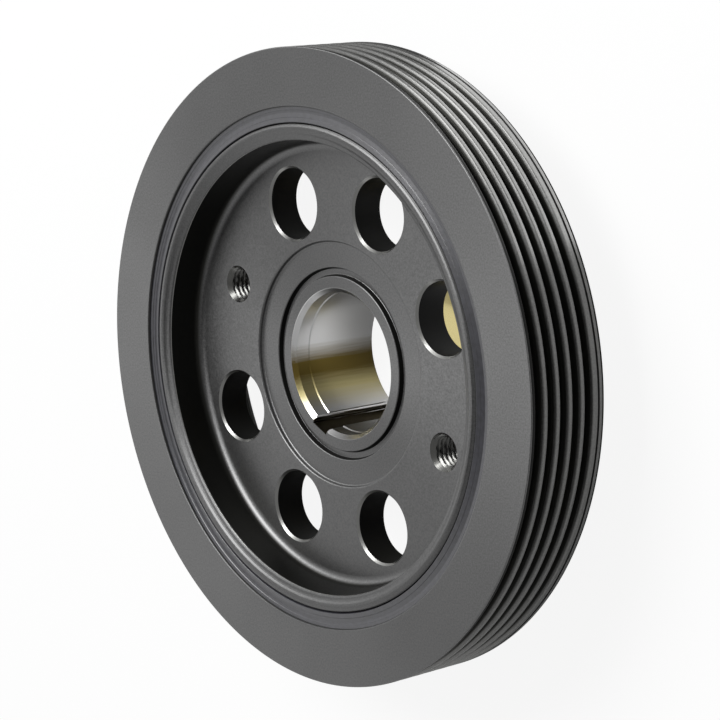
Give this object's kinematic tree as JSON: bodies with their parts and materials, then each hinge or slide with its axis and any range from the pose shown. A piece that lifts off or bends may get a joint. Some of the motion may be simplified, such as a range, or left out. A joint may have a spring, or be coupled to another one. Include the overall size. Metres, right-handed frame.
{
  "type": "harmonic balancer",
  "caption": "Crankshaft harmonic balancer: dished hub with a keyed bore, bonded elastomer ring and a ribbed belt pulley as inertia ring.",
  "frame": {"origin": "centre of the hub's rear seat, on the axis of the bore", "axes": "+Z along the axis towards the front face, +X and +Y as the picture shows right and up on the face"},
  "size_m": [0.143, 0.143, 0.0344],
  "materials": {
    "hub_iron": "satin grey coating over turned iron",
    "ring_iron": "satin grey coating over turned iron",
    "elastomer": "matt rubber under the same coating",
    "bare_steel": "ground, uncoated"
  },
  "bodies": {
    "root": {"hub": "hub_iron", "elastomer_ring": "elastomer", "pulley_ring": "ring_iron"}
  },
  "joints": []
}
